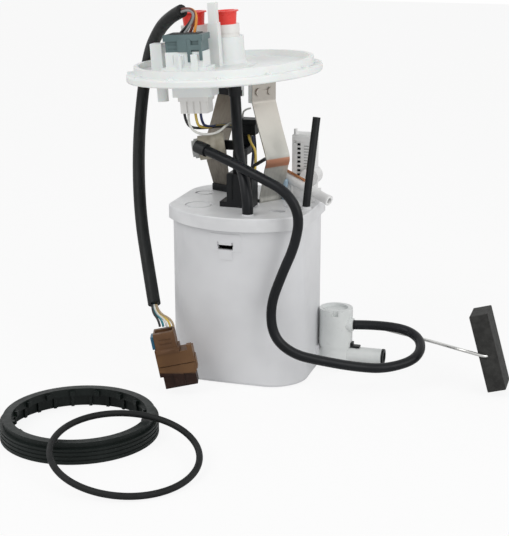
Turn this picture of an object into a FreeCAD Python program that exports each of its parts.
"""In-tank fuel pump module: mounting flange, sprung reservoir, level sender and loose seals.

Units are millimetres, +Z is up and the origin is the centre of the reservoir foot on the floor.
The reservoir's straight front faces -Y and the float reaches out to +X.
"""
import FreeCAD, Part
import math
import os

os.makedirs("parts", exist_ok=True)

# Reservoir
BUCKET_W = 92.0
BUCKET_D = 80.0
BUCKET_H = 119.0
BUCKET_WALL = 2.5
RELIEF = 0.35
FOOT_EDGE = 2.2
FOOT_CORNERS = (14.0, 26.0, 26.0, 26.0)
RIM_CORNERS = (8.0, 12.0, 26.0, 26.0)
FOOT_FRONT_R = 900.0
RIM_FRONT_R = 58.0
RIM_BOW = 15.0
BOW_X = 2.0
LID_T = 3.0
LID_SKIRT = 6.0
LID_WALL = 2.6
LID_FIT = 0.3
LID_TOP = BUCKET_H + LID_T
SIDE = BUCKET_W / 2
FRONT = -BUCKET_D / 2

# Mounting flange: its own frame has the lip underside at z = 0 and leans with the springs
FLANGE_AT = (-17.0, -3.0, LID_TOP + 84.7)
FLANGE_TILT = 3.8
LIP_R = 66.0
LIP_T = 5.0
WALL_R = 60.5
WALL_T = 3.0
WALL_TOP = 10.0
TRAY_TOP = 6.0
PAD_TOP = 7.5

# Fuel ports: tower, pressed-in insert and red dust plug
PORT_RETURN = (-21.7, 6.8)
PORT_SUPPLY = (2.0, 3.7)
TOWER_R = 11.4
TOWER_TOP = 25.5
INSERT_R = 9.0
INSERT_TOP = 33.5
INSERT_SPIGOT_R = 7.5
INSERT_SPIGOT_L = 6.0
PORT_BORE_R = 4.0
PLUG_FIT = 0.05
DUST_PLUG_H = 9.0
DUST_PLUG_R = 9.0

# Electrical socket on the flange and the plug that sits on it
SOCKET_AT = (-14.5, -29.6)
SOCKET_W = 26.0
SOCKET_D = 14.0
SOCKET_TOP = 20.0
PLUG_TOP = 31.0

# Fuel pump inside the reservoir
PUMP_AT = (2.0, FRONT + 26.0)
PUMP_R = 19.0
PUMP_WALL = 1.2
PUMP_BOTTOM = 18.0
PUMP_TOP = BUCKET_H - 17.0
SHAFT_R = 2.0
SHAFT_FIT = 0.03
CRADLE_FIT = 0.06
MAGNET_SPARE = 46.0
OUTLET_R = 4.0

# Leaf springs between the flange and the lid
SPRING_W = 20.0
SPRING_T = 0.9
SPRING_TOP = LID_TOP + 81.5
SPRING_BEND = LID_TOP + 67.0
SPRING_KNEE = LID_TOP + 28.5
STUD_Z = LID_TOP + 74.0
STUD_APART = 10.0

# Jet pump beside the reservoir
JET_AT = (SIDE + 12.3, 16.0)
JET_R = 11.7
JET_TOP = 44.0
JET_BASE_Z = 11.0
JET_BASE_R = 5.4
JET_BASE_END = SIDE + 46.0
HOSE_PORT_END = SIDE + 25.6

# Level sender
PIVOT = (SIDE + 8.1, 39.6, 28.5)
PIVOT_R = 2.0
PIVOT_FIT = 0.05
ARM_WIRE_R = 1.1
FLOAT_SIZE = (12.5, 21.0, 54.0)
FLOAT_LEAN = 16.0
FLOAT_ARM_UP = 25.0

# Cords
SLEEVE_D = 8.6
HOSE_D = 6.7
SUPPLY_D = 7.4
WIRE_D = 1.8

# Loose seals lying on the floor
RING_AT = (-66.6, -146.4)
RING_R = 49.5
RING_BORE_R = 42.0
RING_H = 13.0
RING_LUGS = 16
SEAL_R = 45.0
SEAL_D = 4.0

# Heights above the lid of what the pump stands under
HEAD_TOP = LID_TOP + 23.0
CONNECTOR_Z = LID_TOP + 45.0
REGULATOR_AT = (-12.0, -18.2, LID_TOP + 40.4)
REGULATOR_END = (-31.0, -24.0, LID_TOP + 37.6)
BREATHER_FOOT = (SIDE - 1.4, -18.6)
BREATHER_D = 5.2
BREATHER_TOP = (SIDE + 1.6, -4.8, LID_TOP + 59.5)
BOX_AT = (SIDE - 13.0, 22.0)
SIPHON_A = (20.0, 12.0, LID_TOP + 15.5)
SIPHON_B = (SIDE + 9.5, -4.0, LID_TOP + 3.9)
SUPPLY_FOOT = (12.5, FRONT - 6.2)
VALVE_AT = (24.0 - SIDE, -FRONT - 22.0)

# Leaf springs: place on the flange, turn about Z and reach of the foot
LEAF_RIGHT = ((8.5, 2.6), -35.0, 8.5)
LEAF_LEFT = ((-22.6, 24.5), -113.0, 8.0)

# Cord routes
SLEEVE_PATH = [(-36.5, -31.6, LID_TOP + 129.2), (-50.6, -21.7, LID_TOP + 123.3),
               (-70.6, 3.5, LID_TOP + 104.9), (-84.5, 27.5, LID_TOP + 86.5),
               (-91.0, 34.0, LID_TOP + 65.0), (-89.0, 20.0, LID_TOP + 38.0),
               (-80.0, -5.6, LID_TOP + 12.6), (-71.5, -24.0, 107.3), (-59.7, -43.3, 83.4),
               (-48.2, -61.5, 60.0)]
HOSE_PATH = [(-20.0, -33.0, LID_TOP + 38.6), (-1.2, -41.0, LID_TOP + 34.2),
             (20.4, -48.0, LID_TOP + 26.5), (SIDE - 5.7, -53.0, LID_TOP + 19.5),
             (SIDE + 4.0, -54.0, LID_TOP + 4.6), (46.6, -53.0, 106.2), (37.7, -52.0, 85.7),
             (29.6, -52.0, 63.0), (31.9, -52.5, 41.9), (45.3, -51.0, 30.5),
             (SIDE + 17.3, -43.4, 25.1), (SIDE + 37.7, -30.9, 18.7), (SIDE + 57.0, -23.5, 16.8),
             (SIDE + 76.0, -9.0, 21.0), (SIDE + 74.0, 14.0, 28.0), (SIDE + 53.0, 23.5, 32.5),
             (HOSE_PORT_END, 12.5, 33.5)]
SUPPLY_PATH = [(-6.57, -12.4, LID_TOP + 72.55), (-5.8, -12.6, LID_TOP + 61.0),
               (1.0, -29.5, LID_TOP + 35.0), (SUPPLY_FOOT[0], SUPPLY_FOOT[1], LID_TOP + 15.0),
               (SUPPLY_FOOT[0], SUPPLY_FOOT[1], LID_TOP + 1.05)]
ARM_PATH = [(SIDE + 10.0, 39.6, 28.4), (SIDE + 75.0, 33.0, 20.2), (SIDE + 99.0, -10.5, 32.0),
            (SIDE + 122.8, -12.5, 28.2), (SIDE + 122.8, -2.0, 28.2)]


def vec(p):
    return FreeCAD.Vector(p[0], p[1], p[2])


def box(cx, cy, z0, w, d, h):
    return Part.makeBox(w, d, h, vec((cx - w / 2, cy - d / 2, z0)))


def cyl(cx, cy, z0, r, h):
    return Part.makeCylinder(r, h, vec((cx, cy, z0)))


def ring(cx, cy, z0, r_out, r_in, h):
    return cyl(cx, cy, z0, r_out, h).cut(cyl(cx, cy, z0 - 1, r_in, h + 2))


def rod(a, b, r):
    run = vec(b).sub(vec(a))
    return Part.makeCylinder(r, run.Length, vec(a), run)


def fuse(shapes):
    out = shapes[0].multiFuse(shapes[1:])
    return out.removeSplitter()


def rounded(w, d, radii, z0, h, grow=0.0):
    """Upright block with its own radius at each corner: front left, front right, back right, back left."""
    x, y = w / 2 + grow, d / 2 + grow
    r = [max(v + grow, 0.5) for v in radii]
    corners = [(-x, -y, 1, 1), (x, -y, -1, 1), (x, y, -1, -1), (-x, y, 1, -1)]
    edges = []
    ends = []
    for (cx, cy, sx, sy), rad in zip(corners, r):
        centre = vec((cx + sx * rad, cy + sy * rad, z0))
        a = vec((cx, cy + sy * rad, z0))
        b = vec((cx + sx * rad, cy, z0))
        mid = centre.add(vec((-sx, -sy, 0)).multiply(rad / math.sqrt(2)))
        first, last = (a, b) if sx == sy else (b, a)
        edges.append(Part.Arc(first, mid, last).toShape())
        ends.append((first, last))
    for i in range(4):
        edges.append(Part.LineSegment(ends[i][1], ends[(i + 1) % 4][0]).toShape())
    wire = Part.Wire(Part.__sortEdges__(edges))
    return Part.Face(wire).extrude(vec((0, 0, h)))


def tube(points, diameter, name=""):
    """Round cord: straight runs joined by tangent arcs, each arc from 0.45 of the shorter run."""
    r = diameter / 2
    solids, bends = [], []
    length = 0.0
    start = vec(points[0])
    for i in range(1, len(points) - 1):
        q = vec(points[i])
        into = q.sub(vec(points[i - 1]))
        out = vec(points[i + 1]).sub(q)
        trim = 0.45 * min(into.Length, out.Length)
        turn = into.getAngle(out)
        bend = trim / math.tan(turn / 2)
        into.normalize()
        out.normalize()
        a = q.sub(FreeCAD.Vector(into).multiply(trim))
        axis = into.cross(out).normalize()
        centre = a.add(axis.cross(into).multiply(bend))
        solids.append(Part.makeCylinder(r, a.sub(start).Length, start, into))
        disc = Part.Face(Part.Wire(Part.makeCircle(r, a, into)))
        solids.append(disc.revolve(centre, axis, math.degrees(turn)))
        length += a.sub(start).Length + bend * turn
        bends.append(bend)
        start = q.add(FreeCAD.Vector(out).multiply(trim))
    last = vec(points[-1]).sub(start)
    solids.append(Part.makeCylinder(r, last.Length, start, last))
    solid = fuse(solids)
    if name:
        wanted = math.pi * r * r * (length + last.Length)
        print(name, "least bend", round(min(bends) / diameter, 1), "d, volume ratio",
              round(solid.Volume / wanted, 4))
    return solid


def head(shape):
    """Place a shape drawn in the flange's own frame."""
    out = shape.copy()
    out.rotate(vec((0, 0, 0)), vec((0, 1, 0)), -FLANGE_TILT)
    out.translate(vec(FLANGE_AT))
    return out


def export(name, shape):
    solids = shape.Solids
    out = solids[0] if len(solids) == 1 else shape
    if len(solids) != 1:
        print("WARNING", name, "has", len(solids), "solids")
    if not out.isValid():
        print("WARNING", name, "is not valid")
    if out.BoundBox.ZMin < -0.001:
        print("WARNING", name, "goes below the floor", round(out.BoundBox.ZMin, 2))
    out.exportStep("parts/" + name + ".step")


# Flange group


def make_flange():
    body = [cyl(0, 0, 0, LIP_R, LIP_T)]
    body[0] = body[0].makeFillet(1.2, [e for e in body[0].Edges if e.Length > 300])
    body.append(cyl(0, 0, 0.5, WALL_R, WALL_TOP - 0.5))
    shape = fuse(body)
    shape = shape.cut(cyl(0, 0, TRAY_TOP, WALL_R - WALL_T, 10))
    adds = [rounded(58, 56, (9, 9, 9, 9), TRAY_TOP - 0.5, PAD_TOP - TRAY_TOP + 0.5)]
    adds[0].translate(vec((-8, -12, 0)))
    for x, y in (PORT_RETURN, PORT_SUPPLY):
        adds.append(cyl(x, y, 5, TOWER_R, TOWER_TOP - 5))
        adds.append(Part.makeCone(TOWER_R + 1.6, TOWER_R, 3, vec((x, y, PAD_TOP - 0.2))))
    sx, sy = SOCKET_AT
    adds.append(box(sx, sy, 5, SOCKET_W, SOCKET_D, SOCKET_TOP - 5))
    adds.append(box(sx - 2.4, sy - SOCKET_D / 2 - 1.2, 5, 1.6, 2.6, 13))
    adds.append(box(sx + 7.5, sy - SOCKET_D / 2 - 1.4, 5, 4.2, 3.0, 13.5))
    adds.append(box(sx, sy, 5, SOCKET_W + 5, SOCKET_D + 3, 5))
    adds.append(box(-37.1, -24.0, 5, 8.0, 8.0, 20))
    adds.append(box(-37.1, -20.5, 5, 3.0, 9.0, 8))
    adds.append(box(-1.0, -12.2, 5, 6.8, 6.6, 31))
    adds.append(box(-1.0, -12.2, 30, 5.6, 5.4, 19))
    for angle in range(0, 360, 30):
        rib = box(LIP_R - 3.2, 0, 4.5, 5.4, 1.6, 1.6)
        rib.rotate(vec((0, 0, 0)), vec((0, 0, 1)), angle + 15)
        adds.append(rib)
    adds.append(ring(0, 0, -1.6, 54.0, 51.5, 2.6))
    adds.append(cyl(-36.2, -23.7, -13.4, 3.7, 14))
    adds.append(box(-11.2, -28.6, -9.5, 27.0, 15.0, 10.5))
    adds.append(cyl(9.6, -9.4, -4.0, 5.6, 5))
    adds.append(cyl(9.6, -9.4, -9.0, 2.6, 8))
    shape = fuse([shape] + adds)
    cuts = []
    for x, y in (PORT_RETURN, PORT_SUPPLY):
        cuts.append(cyl(x, y, TOWER_TOP - INSERT_SPIGOT_L - 0.2, INSERT_SPIGOT_R + PLUG_FIT, 20))
        cuts.append(cyl(x, y, 1.5, 3.0, 30))
    for k in range(-1, 2):
        cuts.append(box(sx + k * 7.4, sy - SOCKET_D / 2, 12, 0.8, 0.9, 6))
    return shape.cut(Part.makeCompound(cuts))


def make_spring_pad(base, turn):
    """Boss moulded under the flange that a leaf spring is staked to."""
    under = FLANGE_AT[2] + (base[0] - FLANGE_AT[0]) * math.tan(math.radians(FLANGE_TILT))
    z0 = SPRING_BEND - 0.5
    pad = Part.makeBox(5.0, SPRING_W - 2, under + 2.0 - z0, vec((-5.0, -SPRING_W / 2 + 1, z0)))
    pad.rotate(vec((0, 0, 0)), vec((0, 0, 1)), turn)
    pad.translate(vec((base[0], base[1], 0)))
    return pad


def make_port_insert(at):
    x, y = at
    z0 = TOWER_TOP
    shape = fuse([cyl(x, y, z0, INSERT_R, INSERT_TOP - z0),
                  cyl(x, y, z0 - INSERT_SPIGOT_L, INSERT_SPIGOT_R, INSERT_SPIGOT_L + 1)])
    shape = shape.cut(cyl(x, y, z0 - 10, PORT_BORE_R, 30))
    shape = shape.cut(ring(x, y, z0 + 1.6, INSERT_R + 1, INSERT_R - 0.5, 1.0))
    return head(shape)


def make_dust_plug(at):
    x, y = at
    z0 = INSERT_TOP
    body = Part.makeCone(DUST_PLUG_R - 2.0, DUST_PLUG_R - 1.2, DUST_PLUG_H - 0.9, vec((x, y, z0)))
    rim = cyl(x, y, z0 + DUST_PLUG_H - 0.9, DUST_PLUG_R, 0.9)
    spigot = cyl(x, y, z0 - 7.0, PORT_BORE_R - PLUG_FIT, 7.5)
    shape = fuse([body, rim, spigot])
    shape = shape.cut(cyl(x, y, z0 + DUST_PLUG_H - 1.4, DUST_PLUG_R - 2.6, 10))
    return head(shape)


def make_plug_housing():
    sx, sy = SOCKET_AT
    z0 = SOCKET_TOP
    shape = fuse([box(sx, sy, z0, 25.0, SOCKET_D - 0.6, 8.0),
                  box(sx, sy, z0 + 7.0, 27.2, SOCKET_D + 1.6, PLUG_TOP - z0 - 7.0),
                  box(sx - 0.5, sy - SOCKET_D / 2 - 0.3, z0, 6.6, 1.6, 8),
                  box(sx + 4.2, sy - SOCKET_D / 2 - 0.7, z0 - 6.6, 2.6, 1.2, 14.6),
                  box(sx + 11.9, sy - SOCKET_D / 2 - 0.7, z0 - 5.6, 1.8, 1.2, 13.6),
                  box(sx + 8.0, sy - SOCKET_D / 2 - 0.7, z0 + 1.2, 9.0, 1.2, 3.2)])
    cuts = [box(sx, sy, PLUG_TOP - 1.0, 21.0, 8.6, 3),
            box(sx - 7.6, sy - SOCKET_D / 2, z0 + 1.5, 6.0, 1.2, 0.8),
            box(sx - 7.6, sy - SOCKET_D / 2, z0 + 4.2, 6.0, 1.2, 0.8)]
    return head(shape.cut(Part.makeCompound(cuts)))


def make_plug_seal():
    sx, sy = SOCKET_AT
    seal = box(sx, sy, PLUG_TOP - 1.0, 20.6, 8.2, 1.8)
    return head(seal.makeFillet(0.5, [e for e in seal.Edges if e.Length < 2.0]))


def make_sleeve(name=""):
    return tube(SLEEVE_PATH, SLEEVE_D, name)


def make_plug_wires():
    """Four wires that leave the plug side by side and meet in the sleeve's mouth."""
    sx, sy = SOCKET_AT
    wires = []
    for k in range(4):
        low = head(Part.Vertex(sx + 6.0 - 3.2 * k, sy + 0.8 * (k % 2) - 0.4, PLUG_TOP + 0.8)).Point
        side = 1.05 * math.cos(math.pi / 2 * k + 0.6)
        lift = 1.05 * math.sin(math.pi / 2 * k + 0.6)
        start = SLEEVE_PATH[0]
        mouth = (start[0], start[1] + side, start[2] + lift)
        out = (mouth[0] + 6.4, mouth[1] - 1.7, mouth[2] + 2.4 - 0.4 * lift)
        drop = (start[0] + 11.6 - 0.8 * k, low.y * 0.6 + out[1] * 0.4, start[2] - 3.2 - 0.4 * k)
        wires.append(tube([(low.x, low.y, low.z), drop, out, mouth], WIRE_D))
    return fuse(wires).cut(make_sleeve()).cut(make_plug_seal())


def make_branch_wires():
    """Five wires that fan out from the end of the sleeve to the branch connector."""
    start = SLEEVE_PATH[-1]
    wires = []
    for k in range(5):
        spread = k - 2
        a = (start[0] + 0.75 * spread, start[1] + 0.5 * (k % 2) - 0.3, start[2])
        b = (a[0] + 1.2 + 0.35 * spread, a[1] - 1.0, a[2] - 5.6)
        c = (start[0] + 8.4 + 2.2 * spread, start[1] - 1.9 + 0.64 * spread, start[2] - 9.5)
        d = (start[0] + 9.2 + 2.2 * spread, start[1] - 1.7 + 0.64 * spread, start[2] - 14.4)
        wires.append(tube([a, b, c, d], WIRE_D * 0.9))
    return fuse(wires).cut(make_sleeve())


def lean(shape):
    """Turn the branch connector to the slant at which the harness holds it over the floor."""
    out = shape.copy()
    out.rotate(vec((0, 0, 0)), vec((0, 1, 0)), -11.0)
    out.rotate(vec((0, 0, 0)), vec((0, 0, 1)), 17.0)
    out.translate(vec((-28.6, -62.5, 2.9)))
    return out


def make_branch_connector():
    shape = fuse([box(0, 0, 12.0, 25.0, 12.6, 16.0),
                  box(0.5, 0, 3.0, 22.0, 11.0, 10.0),
                  box(10.8, -4.2, 24, 3.4, 4.2, 7.5),
                  box(0, -5.9, 4.5, 7.0, 1.6, 8.5),
                  box(12.3, 0, 13.0, 2.0, 8.0, 9.0)])
    cuts = [box(0.5, 0, 2.0, 18.5, 8.0, 10.0), box(0, -6.4, 18.6, 26.0, 0.8, 0.5)]
    return lean(shape.cut(Part.makeCompound(cuts)))


def make_branch_backshell():
    shape = fuse([box(-4.2, 0, 28, 14.2, 12.5, 14.5), box(-4.2, 0, 28, 16.4, 14.0, 3.0)])
    cuts = [box(-4.2, 0, 40.0, 11.6, 6.0, 4.0), box(-10.8, 0, 32.5, 4.6, 8.4, 7.0),
            box(-4.2, -6.4, 34, 8.0, 1.0, 1.0), box(-4.2, -6.4, 37, 8.0, 1.0, 1.0)]
    return lean(shape.cut(Part.makeCompound(cuts)))


def make_terminal_lock():
    shape = fuse([box(-10.9, 0, 32.6, 4.2, 8.2, 6.8), box(-12.5, 0, 31.6, 2.0, 9.6, 8.8)])
    return lean(shape)


def make_pump_plug():
    """White plug under the flange that feeds the pump."""
    x, y = -11.2, -28.6
    shape = fuse([box(x, y, -12.5, 21.0, 12.5, 3.0), box(x, y, -20.5, 18.8, 11.0, 9.0)])
    cuts = [box(x + k * 4.6, y - 5.5, -20, 1.2, 1.4, 8.0) for k in range(-1, 3)]
    return head(shape.cut(Part.makeCompound(cuts)))


def make_supply_collar():
    return head(ring(9.6, -9.4, -12.8, 4.4, 2.65, 8.8))


# Leaf springs


def leaf_profile(foot):
    """Spring line in its own plane, as (out, up) pairs from the flange to the lid."""
    return [(0.0, SPRING_TOP), (0.0, SPRING_BEND), (7.0, SPRING_BEND - 17.0), (15.0, SPRING_KNEE + 4.0),
            (15.6, SPRING_KNEE), (14.0, SPRING_KNEE - 4.0), (foot, LID_TOP + 4.0), (foot + 0.3, LID_TOP + 1.2)]


def place_spring(shape, base, turn):
    out = shape.copy()
    out.rotate(vec((0, 0, 0)), vec((0, 0, 1)), turn)
    out.translate(vec((base[0], base[1], 0)))
    return out


def make_leaf_spring(base, turn, foot):
    line = leaf_profile(foot)
    shift = SPRING_T
    outer = [(s + shift, z) for s, z in line]
    toe_in = (foot + 0.3 - 9.0, LID_TOP)
    face = [vec((s, 0, z)) for s, z in outer]
    face += [vec((foot + 0.3 + shift, 0, LID_TOP)), vec((toe_in[0], 0, LID_TOP)),
             vec((toe_in[0], 0, LID_TOP + SPRING_T)), vec((foot + 0.3, 0, LID_TOP + SPRING_T))]
    face += [vec((s, 0, z)) for s, z in reversed(line[:-1])]
    face.append(face[0])
    strip = Part.Face(Part.makePolygon(face)).extrude(vec((0, SPRING_W, 0)))
    strip.translate(vec((0, -SPRING_W / 2, 0)))
    holes = [rod((-5, side, STUD_Z), (5, side, STUD_Z), 1.6) for side in (-STUD_APART / 2, STUD_APART / 2)]
    holes.append(cyl(foot - 4.5, 0, LID_TOP - 1, 1.6, 4))
    return place_spring(strip.cut(Part.makeCompound(holes)), base, turn)


def make_spring_staple(base, turn):
    """Pair of heat-staked studs joined by a thin bar, holding the top of a leaf spring."""
    shapes = [Part.makeBox(0.5, STUD_APART, 2.4, vec((SPRING_T, -STUD_APART / 2, STUD_Z - 1.2)))]
    for side in (-STUD_APART / 2, STUD_APART / 2):
        shapes.append(rod((SPRING_T, side, STUD_Z), (SPRING_T + 1.2, side, STUD_Z), 2.6))
        shapes.append(rod((0.0, side, STUD_Z), (SPRING_T + 0.5, side, STUD_Z), 1.5))
    return place_spring(fuse(shapes), base, turn)


def make_spring_foot_rivet(base, turn, foot):
    shape = fuse([cyl(foot - 4.5, 0, LID_TOP + SPRING_T, 2.8, 1.2),
                  cyl(foot - 4.5, 0, LID_TOP, 1.5, SPRING_T + 0.5)])
    return place_spring(shape, base, turn)


def make_spring_clip(base, turn):
    z0 = SPRING_BEND + 0.1
    outer = Part.makeBox(3.2, SPRING_W + 2.0, 4.2, vec((-0.9, -SPRING_W / 2 - 1.0, z0)))
    slot = Part.makeBox(SPRING_T + 0.1, SPRING_W + 0.1, 6, vec((-0.05, -SPRING_W / 2 - 0.05, z0 - 0.9)))
    back = Part.makeBox(1.0, SPRING_W - 1.0, 6, vec((-1.0, -SPRING_W / 2 + 0.5, z0 - 0.9)))
    return place_spring(outer.cut(slot).cut(back), base, turn)


# Reservoir group


def outline(z, front, front_r, radii, grow=0.0):
    """Outline at height z: flat sides and back, bowed front, corner radii from the front left round."""
    bow = (BOW_X, front + front_r)
    signs = ((-1, -1), (1, -1), (1, 1), (-1, 1))
    points = []
    for k in range(4):
        side, r = signs[k][0], radii[k]
        cx, cy = side * (SIDE - r), -FRONT - r
        along_x, along_y = (side, 0.0), (0.0, 1.0)
        if k < 2:
            cy = bow[1] - math.sqrt((front_r - r) ** 2 - (cx - bow[0]) ** 2)
            along_y = ((cx - bow[0]) / (front_r - r), (cy - bow[1]) / (front_r - r))
        mid = (along_x[0] + along_y[0], along_x[1] + along_y[1])
        size = math.hypot(*mid)
        ways = [along_x, (mid[0] / size, mid[1] / size), along_y]
        corner = [vec((cx + (r + grow) * w[0], cy + (r + grow) * w[1], z)) for w in ways]
        points.append(corner if k in (0, 2) else corner[::-1])
    low = vec((bow[0], bow[1] - front_r - grow, z))
    edges = []
    for k in range(4):
        here, after = points[k], points[(k + 1) % 4]
        edges.append(Part.Arc(*here).toShape())
        if k == 0:
            edges.append(Part.Arc(here[2], low, after[0]).toShape())
        else:
            edges.append(Part.LineSegment(here[2], after[0]).toShape())
    return Part.Wire(edges)


def rim_prism(z, h, grow):
    face = Part.Face(outline(z, FRONT - RIM_BOW, RIM_FRONT_R, RIM_CORNERS, grow))
    return face.extrude(vec((0, 0, h)))


def bucket_form(grow=0.0):
    """Moulded form between the straight-fronted foot and the bowed rim."""
    steps = ((0.0, FOOT_EDGE), (0.3 * FOOT_EDGE, 0.3 * FOOT_EDGE), (FOOT_EDGE, 0.0))
    rings = [outline(z, FRONT, FOOT_FRONT_R, FOOT_CORNERS, grow - inset) for z, inset in steps]
    rings.append(outline(BUCKET_H, FRONT - RIM_BOW, RIM_FRONT_R, RIM_CORNERS, grow))
    return Part.makeLoft(rings, True, True)


def front_at(z):
    return FRONT - RIM_BOW * (z - FOOT_EDGE) / (BUCKET_H - FOOT_EDGE)


def make_jet_pad():
    return box(BUCKET_W / 2 + 0.8, JET_AT[1] - 1.0, 4.0, 2.6, 15.0, 13.0)


def make_bucket():
    shape = bucket_form()
    slot_z = BUCKET_H - 20.0
    fy = front_at(slot_z)
    relief = fuse([box(-1.0, fy, slot_z - 1.0, 21.0, 20.0, 12.0), box(-1.0, fy, slot_z - 7.0, 9.0, 20.0, 8.0)])
    shape = fuse([shape, bucket_form(RELIEF).common(relief)])
    inside = bucket_form(-BUCKET_WALL)
    inside = inside.common(box(0, 0, BUCKET_WALL + 0.5, 2 * BUCKET_W, 2 * BUCKET_D, BUCKET_H))
    shape = shape.cut(inside)
    adds = [make_jet_pad(), box(SIDE - 6.4, PIVOT[1] - 7.2, 19.0, 11.0, 10.0, 17.0)]
    for x in (-SIDE + 13.0, SIDE - 13.0):
        for y in (FRONT + 15.0, -FRONT - 15.0):
            adds.append(cyl(x, y, BUCKET_WALL, 3.0, 8.0))
    shape = fuse([shape] + adds)
    cuts = [box(-1.0, fy, slot_z, 10.6, 12.0, 3.4), box(-6.0, fy - 0.3, slot_z + 2.5, 1.2, 1.4, 3.0),
            box(4.0, fy - 0.3, slot_z + 2.5, 1.2, 1.4, 3.0)]
    cuts.append(rod((SIDE - 6, JET_AT[1] - 1.0, JET_BASE_Z), (SIDE + 6, JET_AT[1] - 1.0, JET_BASE_Z), 3.0))
    cuts.append(cyl(VALVE_AT[0], VALVE_AT[1], -1, 5.0, 6))
    return shape.cut(Part.makeCompound(cuts))


def make_breather_boss():
    return cyl(BREATHER_FOOT[0], BREATHER_FOOT[1], LID_TOP - 1, 3.4, 3.0)


def make_lid():
    skirt_z = BUCKET_H - LID_SKIRT
    shape = rim_prism(skirt_z, LID_SKIRT + LID_T, LID_FIT + LID_WALL)
    shape = shape.makeFillet(1.0, [e for e in shape.Edges if e.BoundBox.ZMin > LID_TOP - 0.01])
    shape = shape.cut(rim_prism(skirt_z - 1, LID_SKIRT + 1, LID_FIT))
    adds = [cyl(SUPPLY_FOOT[0], SUPPLY_FOOT[1], LID_TOP - 1, SUPPLY_D / 2 + 0.2, 2.0)]
    adds.append(make_breather_boss())
    shape = fuse([shape] + adds)
    cuts = [cyl(PUMP_AT[0], PUMP_AT[1] - 8.0, LID_TOP - 5, 7.0, 8)]
    hole_y = FRONT + 10.5
    oval = fuse([cyl(25.5, hole_y, LID_TOP - 5, 3.0, 8), cyl(30.5, hole_y, LID_TOP - 5, 3.0, 8),
                 box(28.0, hole_y, LID_TOP - 5, 5.0, 6.0, 8)])
    cuts.append(oval)
    cuts.append(cyl(BREATHER_FOOT[0], BREATHER_FOOT[1], LID_TOP - 5, 1.6, 8))
    for x, y, r in ((-28.0, FRONT + 13.0, 9.5), (SIDE - 13.0, -12.0, 6.0), (-36.0, 8.0, 6.5)):
        cuts.append(ring(x, y, LID_TOP - 0.7, r, r - 1.6, 2))
    return shape.cut(Part.makeCompound(cuts))


def make_pump_head():
    """Black housing on the lid above the pump outlet."""
    x, y = PUMP_AT[0] - 1.0, PUMP_AT[1] - 7.4
    shape = fuse([box(x, y, LID_TOP, 17.6, 14.0, HEAD_TOP - LID_TOP), box(x - 2.5, y, LID_TOP, 22.5, 14.0, 3.6),
                  cyl(PUMP_AT[0], PUMP_AT[1] - 8.0, LID_TOP - 9.0, 6.8, 10.0)])
    shape = shape.makeFillet(0.8, [e for e in shape.Edges if e.BoundBox.ZMin > HEAD_TOP - 0.1])
    cuts = [cyl(PUMP_AT[0], PUMP_AT[1] - 8.0, LID_TOP - 10.0, OUTLET_R + 0.05, 9.0)]
    for k in (-1, 1):
        cuts.append(box(x + 4.4 * k, y - 7.0, LID_TOP + 5, 1.4, 1.2, 17.0))
    return fuse([shape.cut(Part.makeCompound(cuts)), make_pump_post()])


def make_pump_post():
    """Black riser from the pump head with the arm that carries the regulator."""
    top = HEAD_TOP
    shape = fuse([box(-1.2, -19.0, top, 8.0, 7.0, 14.0), box(-1.2, -11.7, top + 10.0, 6.4, 21.0, 5.0),
                  box(-1.2, -3.6, top + 10.0, 6.0, 5.0, 12.0),
                  box(-8.0, -17.0, top + 14.0, 12.0, 3.6, 6.0)])
    return shape.cut(make_regulator_body())


def make_pump_connector():
    """Black electrical connector above the pump."""
    top = CONNECTOR_Z
    shape = fuse([box(-1.5, -1.0, top, 13.0, 9.0, 10.0), box(-1.5, -1.0, top + 7.6, 14.6, 10.4, 3.2)])
    return shape.cut(box(-1.5, -5.5, top + 2.0, 8.0, 1.4, 4.5))


def along(a, b, f):
    return tuple(a[i] + (b[i] - a[i]) * f for i in range(3))


def make_regulator_body():
    front = along(REGULATOR_END, REGULATOR_AT, 0.12)
    shape = fuse([rod(front, REGULATOR_AT, 8.2), rod(along(REGULATOR_END, REGULATOR_AT, 0.55),
                                                     along(REGULATOR_END, REGULATOR_AT, 0.7), 8.9)])
    shape = fuse([shape, rod(along(HOSE_PATH[0], HOSE_PATH[1], -0.42), HOSE_PATH[0], 4.3)])
    return shape.cut(rod(along(REGULATOR_END, REGULATOR_AT, -1),
                         along(REGULATOR_END, REGULATOR_AT, 0.35), 5.6))


def make_regulator_cap():
    tip = along(REGULATOR_END, REGULATOR_AT, -0.10)
    inner = along(REGULATOR_END, REGULATOR_AT, 0.34)
    face = along(REGULATOR_END, REGULATOR_AT, 0.12)
    shape = fuse([rod(tip, inner, 5.5), rod(along(REGULATOR_END, REGULATOR_AT, -0.02), face, 6.6)])
    return shape.cut(make_regulator_body())


def make_pump_can():
    x, y = PUMP_AT
    return ring(x, y, PUMP_BOTTOM, PUMP_R, PUMP_R - PUMP_WALL, PUMP_TOP - PUMP_BOTTOM)


def make_pump_top_cap():
    x, y = PUMP_AT
    shape = fuse([cyl(x, y, PUMP_TOP, PUMP_R, 3.0), cyl(x, y, PUMP_TOP - 8, PUMP_R - PUMP_WALL, 9.0),
                  cyl(x, y - 8.0, PUMP_TOP, OUTLET_R, LID_TOP - PUMP_TOP - 2.0), cyl(x, y - 8.0, PUMP_TOP, 6.0, 6.0)])
    shape = shape.cut(cyl(x, y - 8.0, PUMP_TOP + 4, 2.2, 30))
    return shape.cut(cyl(x, y, PUMP_TOP - 9, SHAFT_R + SHAFT_FIT, 8.0))


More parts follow.
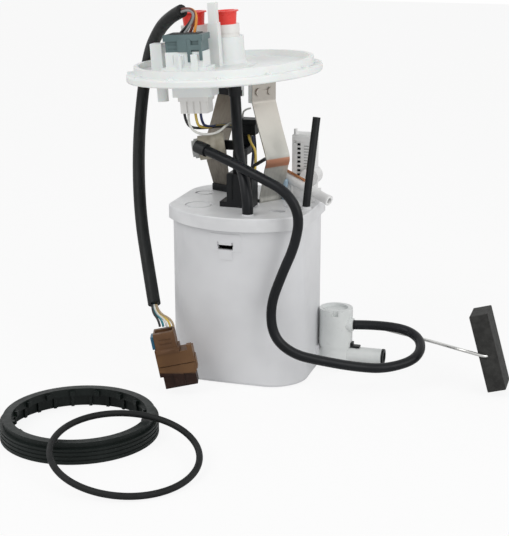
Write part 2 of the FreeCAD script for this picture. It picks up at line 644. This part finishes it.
def make_pump_bottom_cap():
    x, y = PUMP_AT
    shape = fuse([cyl(x, y, PUMP_BOTTOM - 3, PUMP_R, 3.0),
                  cyl(x, y, PUMP_BOTTOM - 1, PUMP_R - PUMP_WALL, 5.0),
                  ring(x + 8, y, PUMP_BOTTOM - 7, 4.5, 2.6, 5.0)])
    shape = shape.cut(cyl(x, y, PUMP_BOTTOM, SHAFT_R + SHAFT_FIT, 8.0))
    return shape.cut(cyl(x + 8, y, PUMP_BOTTOM - 8, 2.6, 14.0))


def make_rotor():
    """Armature, shaft and vane wheel that spin together inside the pump can."""
    x, y = PUMP_AT
    z0 = PUMP_BOTTOM + 4.0
    stack = PUMP_TOP - PUMP_BOTTOM - MAGNET_SPARE
    parts = [cyl(x, y, z0 - 3.0, SHAFT_R, PUMP_TOP - PUMP_BOTTOM - 7.0),
             cyl(x, y, z0 + 0.5, 15.5, 3.2), cyl(x, y, z0 + 14.0, 11.5, stack),
             cyl(x, y, z0 + 18.0 + stack, 7.0, 6.0)]
    shape = fuse(parts)
    cuts = []
    for k in range(24):
        vane = box(x + 15.2, y, z0 - 1, 2.6, 1.5, 6)
        vane.rotate(vec((x, y, 0)), vec((0, 0, 1)), 15 * k)
        cuts.append(vane)
    for k in range(8):
        slot = box(x + 11.4, y, z0 + 13, 4.0, 2.0, stack + 2)
        slot.rotate(vec((x, y, 0)), vec((0, 0, 1)), 45 * k)
        cuts.append(slot)
    return shape.cut(Part.makeCompound(cuts))


def make_magnets():
    """Magnet shell bonded inside the can, with two shallow gaps."""
    x, y = PUMP_AT
    z0 = PUMP_BOTTOM + 18.0
    stack = PUMP_TOP - PUMP_BOTTOM - MAGNET_SPARE
    shell = ring(x, y, z0, PUMP_R - PUMP_WALL, 12.6, stack)
    gaps = [box(x, y + side * 14.0, z0 - 1, 5.0, 5.0, stack + 4) for side in (-1, 1)]
    return shell.cut(Part.makeCompound(gaps))


def make_pump_cradle():
    """Plastic cup that stands on the reservoir floor and holds the pump."""
    x, y = PUMP_AT
    floor = BUCKET_WALL + 0.5
    shape = ring(x, y, floor + 8, PUMP_R + 3.0, PUMP_R + CRADLE_FIT, 34.0)
    legs = []
    for k in range(4):
        leg = box(x + PUMP_R + 1.75, y, floor, 2.5, 8.0, 9.0)
        leg.rotate(vec((x, y, 0)), vec((0, 0, 1)), 45 + 90 * k)
        legs.append(leg)
    shape = fuse([shape] + legs)
    windows = []
    for k in range(3):
        window = box(x + PUMP_R + 1.75, y, floor + 18, 8.0, 12.0, 14.0)
        window.rotate(vec((x, y, 0)), vec((0, 0, 1)), 30 + 120 * k)
        windows.append(window)
    return shape.cut(Part.makeCompound(windows))


def make_strainer():
    x, y = PUMP_AT
    shape = fuse([cyl(x, y, BUCKET_WALL + 1.5, 15.0, 5.0), cyl(x + 8, y, BUCKET_WALL + 6, 2.5, 7.0)])
    return shape.makeChamfer(1.2, [e for e in shape.Edges if e.Length > 90])


def make_breather_tube():
    a = (BREATHER_FOOT[0], BREATHER_FOOT[1], LID_TOP + 1.0)
    mid = (BREATHER_FOOT[0] + 0.9, BREATHER_FOOT[1] + 3.0, LID_TOP + 18.0)
    shape = tube([a, mid, BREATHER_TOP], BREATHER_D, "breather_tube")
    shape = shape.cut(make_breather_boss())
    return shape.cut(rod(along(BREATHER_TOP, mid, 0.12), along(BREATHER_TOP, mid, -0.1), 1.7))


def make_transfer_jet_body():
    x, y = JET_AT
    shape = fuse([cyl(x, y, 17.0, JET_R, JET_TOP - 17.0), cyl(x, y, JET_BASE_Z - 6.0, JET_R - 0.7, 13.0),
                  rod((x, y - 1.0, JET_BASE_Z), (JET_BASE_END, y - 1.0, JET_BASE_Z), JET_BASE_R),
                  rod((x, y - 1.0, JET_BASE_Z), (BUCKET_W / 2 + 2.1, y - 1.0, JET_BASE_Z), JET_BASE_R),
                  rod((x, 12.5, 33.5), (HOSE_PORT_END, 12.5, 33.5), 4.6)])
    cuts = [cyl(x, y, 26.0, JET_R - 2.0, 30.0),
            rod((JET_BASE_END - 14, y - 1, JET_BASE_Z), (JET_BASE_END + 1, y - 1, JET_BASE_Z), 3.4),
            box(x + 2.0, y - JET_R, JET_TOP - 3.4, 4.0, 5.0, 6.0),
            rod((BUCKET_W / 2, y - 1.0, JET_BASE_Z), (x - 4.0, y - 1.0, JET_BASE_Z), 3.0)]
    return shape.cut(Part.makeCompound(cuts)).cut(make_jet_pad())


def make_jet_cap():
    x, y = JET_AT
    r = JET_R - 2.05
    shape = fuse([cyl(x, y, 36.0, r, JET_TOP - 37.6), ring(x, y, 36.0, r, r - 1.2, JET_TOP - 35.8)])
    return shape


def make_jet_nozzle():
    x, y = JET_AT
    shape = cyl(x, y, 26.0, 4.0, 6.0).fuse(Part.makeCone(4.0, 2.0, 3.0, vec((x, y, 32.0))))
    return shape.cut(cyl(x, y, 27.0, 1.2, 12.0)).removeSplitter()


def make_jet_clip():
    x, y = JET_AT
    shape = fuse([box(x + 13.8, y - 1.0, JET_BASE_Z + 5.2, 8.0, 5.0, 1.4),
                  box(x + 11.0, y - 1.0, JET_BASE_Z + 5.4, 4.0, 5.0, 3.4)])
    return shape.cut(rod((x, y - 1, JET_BASE_Z), (JET_BASE_END, y - 1, JET_BASE_Z), JET_BASE_R)).cut(
        cyl(x, y, 15, JET_R, 30))


def make_jet_end_trim():
    y = JET_AT[1] - 1.0
    shape = rod((JET_BASE_END, y, JET_BASE_Z), (JET_BASE_END + 1.6, y, JET_BASE_Z), JET_BASE_R + 0.2)
    return shape.cut(rod((JET_BASE_END - 1, y, JET_BASE_Z), (JET_BASE_END + 3, y, JET_BASE_Z), 3.4))


def make_foot_valve():
    """Small check disc that lifts over the inlet hole in the reservoir floor."""
    x, y = VALVE_AT
    z0 = BUCKET_WALL + 0.5
    shape = fuse([cyl(x, y, z0 + 0.02, 7.0, 1.2), cyl(x, y, z0, 1.5, 6.0)])
    return shape


def make_valve_cage():
    x, y = VALVE_AT
    z0 = BUCKET_WALL + 0.5
    shape = ring(x, y, z0, 9.0, 7.4, 6.0).fuse(ring(x, y, z0 + 4.4, 8.0, 1.56, 1.6)).removeSplitter()
    windows = []
    for k in range(2):
        windows.append(box(x, y, z0 + 1.4, 24.0 if k else 6.0, 6.0 if k else 24.0, 2.6))
    return shape.cut(Part.makeCompound(windows))


# Filter box and return tube at the right rear of the lid


def make_level_housing():
    """White box that stands on the lid."""
    x, y = BOX_AT
    top = LID_TOP + 43.5
    shape = fuse([box(x, y, LID_TOP, 15.4, 13.0, top - LID_TOP), box(x + 1.0, y, LID_TOP, 17.5, 15.0, 4.0)])
    shape = shape.makeFillet(1.2, [e for e in shape.Edges if e.BoundBox.ZMin > top - 0.1])
    extra = [rod((x + 4.6, y + 6.0, LID_TOP + 14.0), (x + 4.6, y - 7.8, LID_TOP + 14.0), 6.5),
             cyl(x - 5.8, y - 4.0, top - 1.0, 1.3, 4.4)]
    shape = fuse([shape] + extra)
    cuts = [rod((x - 5.6, y - 8, top - 5.0), (x - 5.6, y - 5, top - 5.0), 1.2),
            box(x + 0.6, y - 6.5, top - 29.0, 10.4, 0.8, 24.0)]
    return shape.cut(Part.makeCompound(cuts))


def make_siphon_tube():
    """Sloping white return tube with its support block on the lid."""
    shape = rod(SIPHON_A, SIPHON_B, 3.3)
    near = along(SIPHON_A, SIPHON_B, 0.62)
    far = along(SIPHON_A, SIPHON_B, 0.12)
    foot = box(near[0], near[1], LID_TOP, 5.0, 5.0, near[2] - LID_TOP)
    foot2 = box(far[0], far[1], LID_TOP, 5.0, 5.0, far[2] - LID_TOP)
    bore = rod(along(SIPHON_A, SIPHON_B, -0.1), along(SIPHON_A, SIPHON_B, 1.1), 2.0)
    return fuse([shape, foot, foot2]).cut(bore)


def make_siphon_lip():
    inner = along(SIPHON_B, SIPHON_A, -0.045)
    lip = rod(SIPHON_B, inner, 3.6)
    return lip.cut(rod(SIPHON_B, along(SIPHON_B, SIPHON_A, -0.2), 2.0))


def make_copper_strip():
    a = along(SIPHON_A, SIPHON_B, 0.01)
    b = along(SIPHON_A, SIPHON_B, 0.5)
    return rod((a[0], a[1], a[2] + 4.6), (b[0], b[1], b[2] + 4.6), 0.9)


# Level sender on the side of the reservoir


def make_sender_housing():
    """Body of the level sender, fixed to a pad on the reservoir's right rear corner."""
    x, y, z = PIVOT
    left = BUCKET_W / 2 - 0.9
    right = x + 5.9
    shape = box((left + right) / 2, y - 7.0, z - 13.0, right - left, 7.0, 21.0)
    shape = shape.makeFillet(0.8, [e for e in shape.Edges if e.BoundBox.XMin > right - 0.1])
    return shape.cut(rod((x, y - 12.0, z), (x, y, z), PIVOT_R + PIVOT_FIT))


def make_arm_hub():
    x, y, z = PIVOT
    shape = fuse([rod((x, y - 3.1, z), (x, y + 2.6, z), 5.2), rod((x, y - 10.0, z), (x, y, z), PIVOT_R),
                  box(x + 4.0, y, z - 2.4, 9.0, 4.6, 4.8)])
    return shape.cut(rod(along(ARM_PATH[0], ARM_PATH[1], -0.001), ARM_PATH[1], ARM_WIRE_R))


def make_float_arm(name=""):
    return tube(ARM_PATH, 2 * ARM_WIRE_R, name)


def make_float():
    w, d, h = FLOAT_SIZE
    x, y, z = ARM_PATH[3]
    shape = box(0, 0, -FLOAT_ARM_UP, w, d, h)
    shape = shape.makeFillet(0.6, shape.Edges)
    shape.rotate(vec((0, 0, 0)), vec((0, 1, 0)), -FLOAT_LEAN)
    shape.translate(vec((x, y + ARM_WIRE_R + 0.5 + d / 2, z)))
    return shape.cut(make_float_arm())


# Leads between the flange and the reservoir


def lead_path(k):
    """Lead k from the plug under the flange to the connector over the pump."""
    low = head(Part.Vertex((-19.6, -12.4, -8.8)[k], -28.6 - 1.4 * (k == 0), -20.55)).Point
    y_end = -4.4 + 2.3 * k
    level = CONNECTOR_Z + 6.8
    sag = ((-31.4, -26.4, -23.4)[k], -30.6 + 2.6 * k, level - 0.2 + 0.4 * k)
    turn = (-13.6 - 1.1 * k, -9.6 + 2.7 * k, level)
    return [(low.x, low.y, low.z), (low.x + 0.2, low.y + 0.2, low.z - 4.5), sag, turn,
            (-9.0, y_end, level - 2.2)]


def make_pump_leads():
    """Three leads that share a seal where they enter the connector."""
    seal = box(-9.1, -2.0, CONNECTOR_Z + 3.0, 1.6, 8.0, 3.2)
    return seal.multiFuse([tube(lead_path(k), WIRE_D) for k in range(3)])


def make_loop_lead():
    """Pale lead that hangs in a loop in front of the regulator."""
    low = head(Part.Vertex(-16.4, -30.6, -20.55)).Point
    level = CONNECTOR_Z + 4.5
    return tube([(low.x, low.y, low.z), (low.x + 0.2, low.y - 2.9, low.z - 6.6),
                 (low.x + 7.0, low.y - 4.2, low.z - 13.2), (-13.5, -30.5, level),
                 (-10.5, -16.0, level + 5.1), (-8.0, -4.6, level + 3.7)],
                WIRE_D * 0.9).cut(make_pump_connector())


def make_earth_lead():
    """Thin lead from the connector to an eyelet behind the right leaf spring."""
    top = CONNECTOR_Z + 10.8
    eyelet = place_spring(Part.makeBox(0.8, 5.4, 4.6, vec((-0.85, -10.6, top + 5.2))), *LEAF_RIGHT[:2])
    lead = tube([(-5.0, -1.0, top + 0.05), (-5.0, -1.4, top + 3.7), (-1.5, -5.2, top + 6.8),
                 (2.2, -5.6, top + 7.8)], 1.2)
    return fuse([lead, eyelet])


def make_connector_leads():
    """Two leads from the connector down to a grommet on the pump head."""
    wires = [box(7.4, -16.6, HEAD_TOP, 5.6, 3.2, 1.8)]
    for k in range(2):
        top = (3.5, -4.6 + 2.6 * k, CONNECTOR_Z - 0.25)
        wires.append(tube([top, (top[0] + 1.0 + 0.6 * k, top[1] - 1.6 - k, HEAD_TOP + 15.0 - 0.5 * k),
                           (6.0 + 1.8 * k, -13.6 + 0.4 * k, HEAD_TOP + 8.0),
                           (6.2 + 2.3 * k, -16.6, HEAD_TOP + 1.0)], WIRE_D))
    return fuse(wires)


# Loose seals


def make_lock_ring():
    x, y = RING_AT
    shape = fuse([ring(x, y, 0, RING_R, RING_R - 4.0, 9.5), ring(x, y, 8.0, RING_R - 2.2, RING_BORE_R, 5.0)])
    lugs = []
    for k in range(RING_LUGS):
        lug = box(x + RING_BORE_R - 0.6, y, 8.4, 3.0, 3.2, 3.2)
        lug.rotate(vec((x, y, 0)), vec((0, 0, 1)), 360.0 / RING_LUGS * k + 8)
        lugs.append(lug)
    for k in range(24):
        rib = box(x + RING_R - 4.6, y, 0, 1.6, 2.0, 8.6)
        rib.rotate(vec((x, y, 0)), vec((0, 0, 1)), 15.0 * k)
        lugs.append(rib)
    shape = fuse([shape] + lugs)
    for z in (2.2, 4.8, 7.4):
        shape = shape.cut(ring(x, y, z, RING_R + 1, RING_R - 0.5, 0.9))
    return shape


def make_seal_ring():
    """Rubber ring leaning on the lock ring."""
    far = (0.75, -0.66)
    gap = 64.0
    r = SEAL_R - SEAL_D / 2
    reach = (gap ** 2 + r ** 2 - RING_R ** 2) / (2 * gap)
    rise = (RING_H + 0.15) / (r + reach)
    lean_by = math.degrees(math.atan(rise))
    r_flat = r / math.cos(math.radians(lean_by))
    torus = Part.makeTorus(r_flat, SEAL_D / 2)
    axis = vec((-far[1], far[0], 0))
    torus.rotate(vec((0, 0, 0)), axis, lean_by)
    lift = SEAL_D / 2 + r_flat * math.sin(math.radians(lean_by)) + 0.02
    torus.translate(vec((RING_AT[0] + far[0] * gap, RING_AT[1] + far[1] * gap, lift)))
    print("seal ring leans", round(lean_by, 1), "degrees")
    return torus


def main():
    pads = [make_spring_pad(*LEAF_RIGHT[:2]), make_spring_pad(*LEAF_LEFT[:2])]
    flange = head(make_flange())
    flange = fuse([flange] + pads)
    export("flange", flange)
    export("port_insert_return", make_port_insert(PORT_RETURN))
    export("port_insert_supply", make_port_insert(PORT_SUPPLY))
    export("dust_plug_return", make_dust_plug(PORT_RETURN))
    export("dust_plug_supply", make_dust_plug(PORT_SUPPLY))
    export("plug_housing", make_plug_housing())
    export("plug_seal", make_plug_seal())
    export("plug_wires", make_plug_wires())
    export("harness_sleeve", make_sleeve("harness_sleeve"))
    export("branch_wires", make_branch_wires())
    export("branch_connector", make_branch_connector())
    export("branch_backshell", make_branch_backshell())
    export("terminal_lock", make_terminal_lock())
    export("pump_plug", make_pump_plug())
    export("supply_collar", make_supply_collar())
    export("supply_hose", tube(SUPPLY_PATH, SUPPLY_D, "supply_hose"))
    for name, leaf in (("right", LEAF_RIGHT), ("left", LEAF_LEFT)):
        export("leaf_spring_" + name, make_leaf_spring(*leaf))
        export("spring_foot_rivet_" + name, make_spring_foot_rivet(*leaf))
        export("spring_staple_" + name, make_spring_staple(*leaf[:2]))
    export("spring_clip", make_spring_clip(*LEAF_LEFT[:2]))
    export("pump_leads", make_pump_leads())
    export("loop_lead", make_loop_lead())
    export("earth_lead", make_earth_lead())
    export("reservoir_bucket", make_bucket())
    export("reservoir_lid", make_lid())
    export("pump_head", make_pump_head())
    export("pump_connector", make_pump_connector())
    export("connector_leads", make_connector_leads())
    export("regulator_body", make_regulator_body())
    export("regulator_cap", make_regulator_cap())
    export("pump_can", make_pump_can())
    export("pump_top_cap", make_pump_top_cap())
    export("pump_bottom_cap", make_pump_bottom_cap())
    export("pump_rotor", make_rotor())
    export("pump_magnets", make_magnets())
    export("pump_cradle", make_pump_cradle())
    export("pump_strainer", make_strainer())
    export("breather_tube", make_breather_tube())
    hose = tube(HOSE_PATH, HOSE_D, "transfer_hose")
    export("transfer_hose", hose.cut(make_transfer_jet_body()))
    export("jet_body", make_transfer_jet_body())
    export("jet_cap", make_jet_cap())
    export("jet_nozzle", make_jet_nozzle())
    export("jet_clip", make_jet_clip())
    export("jet_end_trim", make_jet_end_trim())
    export("foot_valve", make_foot_valve())
    export("valve_cage", make_valve_cage())
    export("rear_box", make_level_housing())
    export("return_tube", make_siphon_tube())
    export("return_tube_lip", make_siphon_lip())
    export("copper_strip", make_copper_strip())
    export("sender_housing", make_sender_housing())
    export("arm_hub", make_arm_hub())
    export("float_arm", make_float_arm("float_arm"))
    export("float", make_float())
    export("lock_ring", make_lock_ring())
    export("seal_ring", make_seal_ring())


main()
